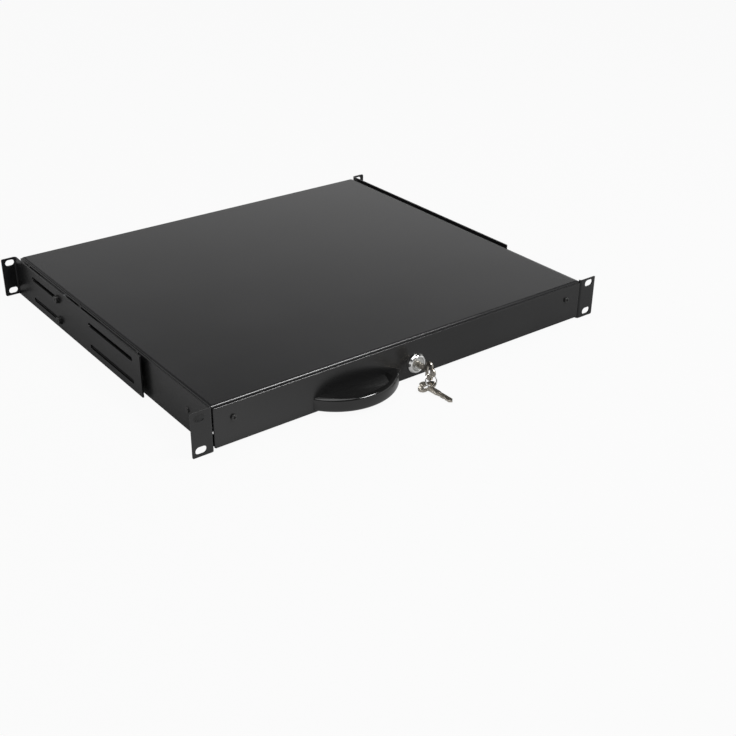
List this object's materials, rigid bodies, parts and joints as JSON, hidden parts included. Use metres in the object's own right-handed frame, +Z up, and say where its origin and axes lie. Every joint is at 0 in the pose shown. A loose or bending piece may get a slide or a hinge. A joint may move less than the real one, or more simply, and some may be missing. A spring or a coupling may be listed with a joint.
{
  "type": "rack keyboard drawer",
  "caption": "Rack-mount drawer, one rack unit high: steel case with slotted ears, tray on ball-bearing slides, crescent pull, cam lock with keys and adjustable rear brackets.",
  "frame": {"origin": "centre of the front ears' four-hole pattern, on the ears' rear face, which lies against the rack posts", "axes": "+X to the right along the front, +Y to the rear, +Z up"},
  "size_m": [0.4826, 0.4612, 0.0436],
  "materials": {
    "case_paint": "semi-gloss black powder coat",
    "cover_paint": "semi-gloss black powder coat",
    "bracket_paint": "semi-gloss black powder coat",
    "tray_paint": "semi-gloss black powder coat",
    "fascia_paint": "semi-gloss black powder coat",
    "black_screw": "black oxide",
    "zinc": "bright zinc",
    "rail_steel": "zinc-plated steel",
    "cage_steel": "plain strip steel",
    "ball_steel": "polished",
    "bumper_rubber": "matt",
    "handle_plastic": "gloss black",
    "lock_chrome": "bright chrome",
    "key_steel": "nickel-plated, worn",
    "ring_steel": "bright wire"
  },
  "bodies": {
    "case": {"top_cover": "cover_paint", "left_side_panel": "case_paint", "right_side_panel": "case_paint", "rear_crossmember": "case_paint", "case_rivets": "black_screw", "left_outer_rail": "rail_steel", "right_outer_rail": "rail_steel", "rail_bumpers": "bumper_rubber", "bracket_standoffs": "zinc", "bracket_washers": "black_screw", "bracket_screws": "black_screw"},
    "tray": {"tray": "tray_paint", "fascia": "fascia_paint", "fascia_screws": "black_screw", "fascia_nuts": "zinc", "handle": "handle_plastic", "handle_screws": "zinc", "lock_housing": "lock_chrome", "lock_nut": "zinc", "left_inner_rail": "rail_steel", "right_inner_rail": "rail_steel", "inner_rail_screws": "black_screw"},
    "lock_plug": {"lock_plug": "lock_chrome", "lock_cam": "zinc", "cam_screw": "zinc"},
    "key": {"key": "key_steel"},
    "key_ring": {"key_ring": "ring_steel"},
    "spare_key": {"spare_key": "key_steel"},
    "left_bracket": {"left_rear_bracket": "bracket_paint"},
    "left_middle": {"left_middle_rail": "rail_steel"},
    "left_outer_cage": {"left_outer_cage": "cage_steel", "left_outer_balls": "ball_steel"},
    "left_inner_cage": {"left_inner_cage": "cage_steel", "left_inner_balls": "ball_steel"},
    "right_bracket": {"right_rear_bracket": "bracket_paint"},
    "right_middle": {"right_middle_rail": "rail_steel"},
    "right_outer_cage": {"right_outer_cage": "cage_steel", "right_outer_balls": "ball_steel"},
    "right_inner_cage": {"right_inner_cage": "cage_steel", "right_inner_balls": "ball_steel"}
  },
  "joints": [
    {"name": "tray_slide", "type": "slide", "parent": "case", "child": "tray", "axis": [0, -1, 0], "range_m": [0, 0.35]},
    {"name": "left_middle_slide", "type": "slide", "parent": "case", "child": "left_middle", "axis": [0, -1, 0], "range_m": [0, 0.175]},
    {"name": "left_outer_cage_slide", "type": "slide", "parent": "case", "child": "left_outer_cage", "axis": [0, -1, 0], "range_m": [0, 0.0875]},
    {"name": "left_inner_cage_slide", "type": "slide", "parent": "left_middle", "child": "left_inner_cage", "axis": [0, -1, 0], "range_m": [0, 0.0875]},
    {"name": "left_bracket_slide", "type": "slide", "parent": "case", "child": "left_bracket", "axis": [0, -1, 0], "range_m": [0, 0.061]},
    {"name": "right_middle_slide", "type": "slide", "parent": "case", "child": "right_middle", "axis": [0, -1, 0], "range_m": [0, 0.175]},
    {"name": "right_outer_cage_slide", "type": "slide", "parent": "case", "child": "right_outer_cage", "axis": [0, -1, 0], "range_m": [0, 0.0875]},
    {"name": "right_inner_cage_slide", "type": "slide", "parent": "right_middle", "child": "right_inner_cage", "axis": [0, -1, 0], "range_m": [0, 0.0875]},
    {"name": "right_bracket_slide", "type": "slide", "parent": "case", "child": "right_bracket", "axis": [0, -1, 0], "range_m": [0, 0.061]},
    {"name": "lock_turn", "type": "hinge", "parent": "tray", "child": "lock_plug", "pos_m": [0, 0, -0.0058], "axis": [0, 1, 0], "range_deg": [0, 90]},
    {"name": "key_pull", "type": "slide", "parent": "lock_plug", "child": "key", "axis": [0, -1, 0], "range_m": [0, 0.022]},
    {"name": "ring_swing", "type": "hinge", "parent": "key", "child": "key_ring", "pos_m": [0, -0.0212, -0.00945], "axis": [1, 0, 0], "range_deg": [-60, 60]},
    {"name": "spare_key_swing", "type": "hinge", "parent": "key_ring", "child": "spare_key", "pos_m": [0, -0.0274, -0.02019], "axis": [1, 0, 0], "range_deg": [-20, 6]}
  ],
  "couplings": [
    {"joint": "left_middle_slide", "follows": "tray_slide", "ratio": 0.5},
    {"joint": "left_outer_cage_slide", "follows": "tray_slide", "ratio": 0.25},
    {"joint": "left_inner_cage_slide", "follows": "tray_slide", "ratio": 0.25},
    {"joint": "right_middle_slide", "follows": "tray_slide", "ratio": 0.5},
    {"joint": "right_outer_cage_slide", "follows": "tray_slide", "ratio": 0.25},
    {"joint": "right_inner_cage_slide", "follows": "tray_slide", "ratio": 0.25}
  ]
}
